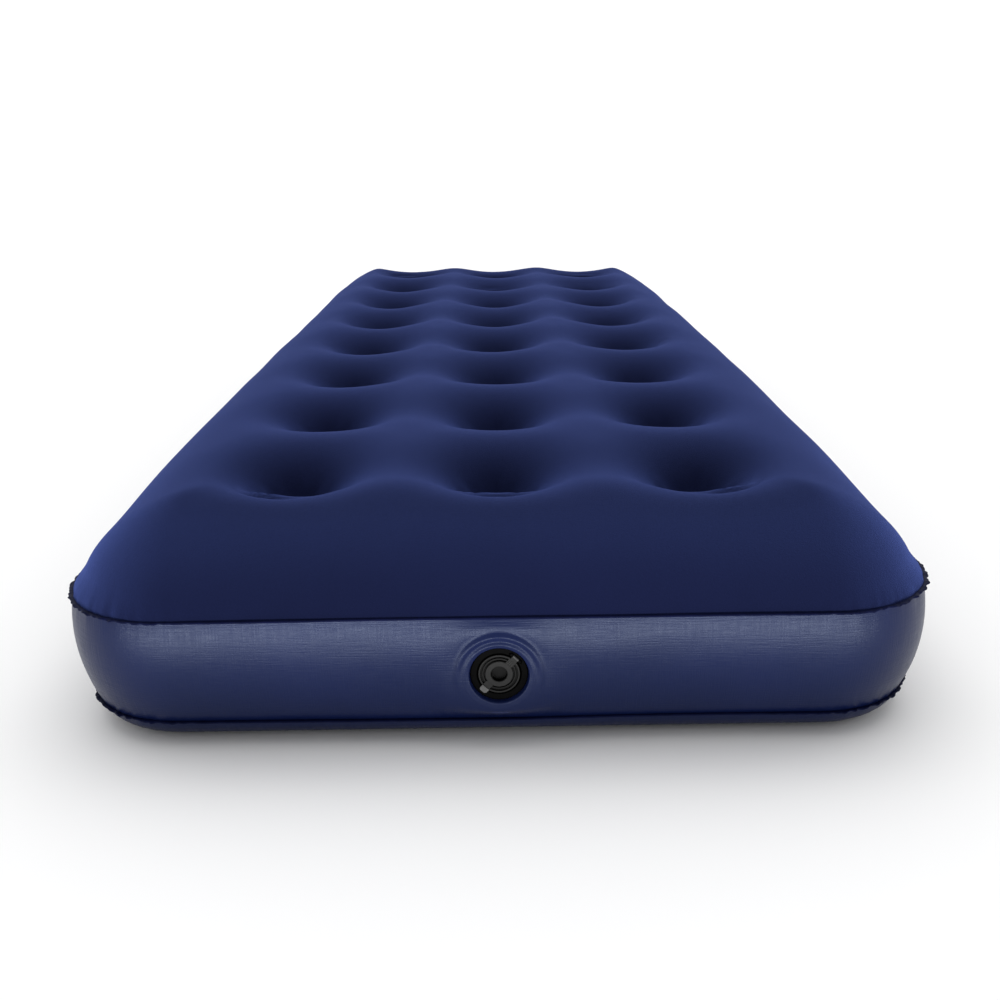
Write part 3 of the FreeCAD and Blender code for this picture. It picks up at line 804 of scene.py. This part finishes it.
def flock():
    """Short nylon pile: no gloss, a soft glow at grazing angles, stroked patches, pressed at welds."""
    shade = Shade("flock", Roughness=0.95, Specular_IOR_Level=0.04)
    shade.surface.inputs["Sheen Weight"].default_value = 1.0
    shade.surface.inputs["Sheen Roughness"].default_value = 0.55
    shade.surface.inputs["Sheen Tint"].default_value = rgb(71, 89, 158)
    place = shade.place()
    fibres = shade.noise(place, 2600.0, 1.0, 0.6)
    tufts = shade.noise(place, 620.0, 3.0, 0.6)
    strokes = shade.noise(shade.stretch(place, (1.0, 0.55, 1.0)), 7.0, 3.0, 0.55)
    weld = shade.add("ShaderNodeAttribute", attribute_name="weld").outputs["Fac"]
    tone = shade.ramp(strokes, 0.3, 0.7, 0.0, 1.0)
    base = shade.mix(tone, rgb(6, 8, 29), rgb(9, 12, 36))
    grain = shade.ramp(fibres, 0.3, 0.7, 0.0, 0.5)
    base = shade.mix(grain, base, rgb(4, 6, 21))
    base = shade.mix(shade.math("MULTIPLY", weld, 0.55), base, rgb(3, 5, 22))
    height = shade.math("ADD", shade.math("MULTIPLY", fibres, 0.6), tufts)
    nap = shade.bump(strokes, 5 * MM, 0.35)
    relief = shade.bump(height, 0.55 * MM, 0.6, nap)
    return shade.drive(Base_Color=base, Normal=relief)


def vinyl(name, base_low, base_high, roughness, emboss):
    """Calendered vinyl with a fine linen emboss; its threads run along and across the sheet."""
    shade = Shade(name, Roughness=roughness, Specular_IOR_Level=0.23)
    shade.surface.inputs["Specular Tint"].default_value = (0.72, 0.82, 1.0, 1.0)
    if emboss:
        place = shade.add("ShaderNodeAttribute", attribute_name="weave").outputs["Vector"]
    else:
        place = shade.place()
    warp = shade.noise(shade.stretch(place, (40.0, 850.0, 1.0)), 1.0, 2.0, 0.6)
    weft = shade.noise(shade.stretch(place, (850.0, 40.0, 1.0)), 1.0, 2.0, 0.6)
    threads = shade.math("ADD", shade.ramp(warp, 0.3, 0.7), shade.ramp(weft, 0.3, 0.7))
    cloud = shade.noise(shade.place(), 9.0, 3.0, 0.5)
    base = shade.mix(shade.ramp(cloud, 0.3, 0.7), base_low, base_high)
    relief = shade.bump(threads, 0.12 * MM, 0.5)
    gloss = shade.math("ADD", shade.ramp(threads, 0.4, 1.6, -0.05, 0.07), roughness)
    return shade.drive(Base_Color=base, Normal=relief, Roughness=gloss)


def weld_vinyl():
    """The dull, pressed vinyl of the seams."""
    shade = Shade("weld_vinyl", Roughness=0.6, Specular_IOR_Level=0.07)
    shade.surface.inputs["Specular Tint"].default_value = (0.5, 0.62, 1.0, 1.0)
    place = shade.place()
    dirt = shade.noise(place, 60.0, 3.0, 0.6)
    base = shade.mix(shade.ramp(dirt, 0.3, 0.7), rgb(6, 9, 33), rgb(10, 14, 44))
    press = shade.noise(place, 900.0, 2.0, 0.5)
    return shade.drive(Base_Color=base, Normal=shade.bump(press, 0.15 * MM, 0.5))


def moulded(name, colour, dark, roughness, specular, grain=1400.0, relief=0.04):
    """Moulded plastic or rubber: fine spark-eroded grain, softened edges, faint handling marks."""
    shade = Shade(name, Roughness=roughness, Specular_IOR_Level=specular)
    place = shade.place()
    marks = shade.noise(place, 55.0, 4.0, 0.6)
    base = shade.mix(shade.ramp(marks, 0.35, 0.7), colour, dark)
    texture = shade.noise(place, grain, 2.0, 0.5)
    rough = shade.ramp(marks, 0.3, 0.75, roughness - 0.06, roughness + 0.09)
    edge = shade.add("ShaderNodeBevel", {"Radius": 0.35 * MM}, samples=4).outputs["Normal"]
    normal = shade.bump(texture, relief * MM, 0.5, edge)
    return shade.drive(Base_Color=base, Roughness=rough, Normal=normal)


def valve_plastic_wear_and_painted_shade(name, stops, roughness, specular):
    """Black moulded plastic, greyed by height over the collar's face. It is paler where it stands out of
    the valve, partly rubbed wear and partly painted highlight, and near-black in its recesses as painted
    shade.

    stops are pairs of height over the collar's face, in mm, and a grey."""
    shade = Shade(name, Roughness=roughness, Specular_IOR_Level=specular)
    place = shade.place()
    depth = shade.add("ShaderNodeSeparateXYZ", {"Vector": place}).outputs["Y"]
    face = -HALF_Y - FACE_OFF
    low, high = stops[0][0], stops[-1][0]
    # greys by height: partly rubbed wear, partly painted highlight on raised parts and painted shade in
    # recesses
    share = shade.ramp(depth, face - low * MM, face - high * MM)
    ramp = shade.add("ShaderNodeValToRGB", {"Fac": share})
    ramp.color_ramp.elements[0].color = rgb(*[stops[0][1]] * 3)
    ramp.color_ramp.elements[1].color = rgb(*[stops[-1][1]] * 3)
    for height, grey in stops[1:-1]:
        ramp.color_ramp.elements.new((height - low) / (high - low)).color = rgb(*[grey] * 3)
    marks = shade.noise(place, 160.0, 4.0, 0.6)
    base = shade.mix(shade.ramp(marks, 0.35, 0.8, 0.0, 0.35), ramp.outputs["Color"], rgb(4, 4, 5))
    texture = shade.noise(place, 1400.0, 2.0, 0.5)
    rough = shade.ramp(marks, 0.3, 0.75, roughness - 0.06, roughness + 0.09)
    edge = shade.add("ShaderNodeBevel", {"Radius": 0.3 * MM}, samples=4).outputs["Normal"]
    normal = shade.bump(texture, 0.04 * MM, 0.5, edge)
    return shade.drive(Base_Color=base, Roughness=rough, Normal=normal)


def dress(piece, material):
    piece.data.materials.clear()
    piece.data.materials.append(material)


def dress_nodes(nodes, material):
    for name in nodes:
        dress(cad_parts[name], material)


# ---------------------------------------------------------------- studio


FLOOR_HALF = 14.0
FRONT_SKY, BACK_SKY = 0.5, 1.16  # the studio is dimmer behind the camera
PANEL_RADIANCE = 18.0


def white_floor():
    half = FLOOR_HALF
    corners = [(-half, -half, 0), (half, -half, 0), (half, half, 0), (-half, half, 0)]
    mesh = bpy.data.meshes.new("floor")
    mesh.from_pydata(corners, [], [(0, 1, 2, 3)])
    floor = bpy.data.objects.new("floor", mesh)
    bpy.context.scene.collection.objects.link(floor)
    shade = Shade("studio_floor", Roughness=0.9, Specular_IOR_Level=0.1)
    shade.surface.inputs["Base Color"].default_value = (0.95, 0.95, 0.952, 1)
    dress(floor, shade.material)


def soft_sky():
    """White light from all round, falling off towards the studio's front."""
    world = bpy.data.worlds.new("studio")
    world.use_nodes = True
    bpy.context.scene.world = world
    tree = world.node_tree
    sky = tree.nodes["Background"]
    sky.inputs["Color"].default_value = (1.0, 1.0, 1.0, 1)
    way = tree.nodes.new("ShaderNodeSeparateXYZ")
    tree.links.new(tree.nodes.new("ShaderNodeTexCoord").outputs["Generated"], way.inputs["Vector"])
    level = tree.nodes.new("ShaderNodeMapRange")
    tree.links.new(way.outputs["Y"], level.inputs["Value"])
    limits = {"From Min": -0.9, "From Max": 0.4, "To Min": FRONT_SKY, "To Max": BACK_SKY}
    for key, value in limits.items():
        level.inputs[key].default_value = value
    tree.links.new(level.outputs[0], sky.inputs["Strength"])


def lamps():
    """A broad overhead light, and a low panel before the valve end that lies in the band's gloss."""
    scene = bpy.context.scene
    sun = bpy.data.lights.new("overhead", "SUN")
    sun.energy = 0.7
    sun.angle = math.radians(70)
    lamp = bpy.data.objects.new("overhead", sun)
    lamp.rotation_euler = (math.radians(-20), 0, 0)
    scene.collection.objects.link(lamp)

    panel = bpy.data.lights.new("low_front", "AREA")
    panel.shape = "RECTANGLE"
    panel.size, panel.size_y = 1.8, 0.8
    panel.energy = PANEL_RADIANCE * math.pi * panel.size * panel.size_y
    lamp = bpy.data.objects.new("low_front", panel)
    lamp.location = (0.0, -1.69, 0.004)
    lamp.rotation_euler = (math.radians(180), 0, 0)
    lamp.visible_camera = False
    scene.collection.objects.link(lamp)


def camera():
    """Above and in front of the valve end, looking down the bed's length."""
    place = Vector((0.0035, -1.7361, 0.4985))
    pitch, yaw, roll = 0.3264, -0.0007, -0.0154
    ahead = Vector((math.sin(yaw) * math.cos(pitch), math.cos(yaw) * math.cos(pitch), -math.sin(pitch)))
    right = Vector((math.cos(yaw), -math.sin(yaw), 0))
    up = right.cross(ahead)
    level_right, level_up = right, up
    right = math.cos(roll) * level_right + math.sin(roll) * level_up
    up = math.cos(roll) * level_up - math.sin(roll) * level_right
    data = bpy.data.cameras.new("camera")
    data.lens, data.sensor_width = 39.06, 36.0
    data.clip_end = 60
    eye = bpy.data.objects.new("camera", data)
    turn = Matrix((right, up, -ahead)).transposed().to_4x4()
    eye.matrix_world = Matrix.Translation(place) @ turn
    bpy.context.scene.collection.objects.link(eye)
    bpy.context.scene.camera = eye


# ---------------------------------------------------------------- the whole bed


# Greys by height over the collar's face, in mm. Pale raised parts are partly wear and partly painted
# highlight; near-black recesses are painted shade of the valve well.
CAP_WEAR_AND_SHADE_STOPS = [(-4.9, 1), (-3.7, 3), (-2.7, 30), (-2.1, 35), (-1.5, 86)]
HOUSING_WEAR_AND_SHADE_STOPS = [(-9.0, 1), (-6.0, 1), (-3.6, 4), (-2.8, 7)]


def build_sheets():
    """The pieces that take the place of the CAD's sheets and seams, and the collar's face."""
    top, base, wall, strip, lip = bed_top(), bed_base(), side_wall(), joint_strip(), collar_lip()
    upper = seam_lip("upper_seam", "top_seam", TOP_SEAM_Z, 0.0, 3.6 * MM, TOP_SEAM_SEED)
    lower = seam_lip("lower_seam", "bottom_seam", BASE_SEAM_Z, BASE_INSET, 3.8 * MM, BASE_SEAM_SEED)
    wall_vinyl = vinyl("wall_vinyl", rgb(9, 18, 51), rgb(12, 21, 57), 0.35, True)
    base_vinyl = vinyl("base_vinyl", rgb(9, 18, 51), rgb(12, 21, 57), 0.42, False)
    seam = weld_vinyl()
    looks = [(top, flock()), (base, base_vinyl), (upper, seam), (lower, seam)]
    looks += [(piece, wall_vinyl) for piece in (wall, strip, lip)]
    for piece, material in looks:
        dress(piece, material)
        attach(piece, "mattress")


def dress_kept_nodes():
    """Materials of the CAD nodes whose shapes stay: beams, rings, collar and valve."""
    film = moulded("film", rgb(50, 60, 120), rgb(42, 52, 104), 0.4, 0.5, 500.0, 0.02)
    dress_nodes(BEAM_NODES + ["upper_weld_rings", "lower_weld_rings"], film)
    soft = moulded("collar_vinyl", rgb(22, 31, 72), rgb(18, 26, 62), 0.36, 0.3, 700.0, 0.05)
    dress_nodes(["valve_collar", "valve_backing_ring"], soft)
    dress_nodes(["port_cap"], valve_plastic_wear_and_painted_shade("cap_wear_and_painted_shade", CAP_WEAR_AND_SHADE_STOPS, 0.4, 0.12))
    housing = valve_plastic_wear_and_painted_shade("housing_wear_and_painted_shade", HOUSING_WEAR_AND_SHADE_STOPS, 0.6, 0.02)
    dress_nodes(["valve_body", "cap_hinge_pin", "flap_hinge_pin"], housing)
    rubber = moulded("seal_rubber", rgb(10, 10, 11), rgb(6, 6, 7), 0.62, 0.25, 800.0, 0.05)
    dress_nodes(["body_gasket", "cap_seal", "check_flap"], rubber)


bpy.context.scene.view_settings.view_transform = "Standard"
build_sheets()
dress_kept_nodes()
white_floor()
soft_sky()
lamps()
camera()
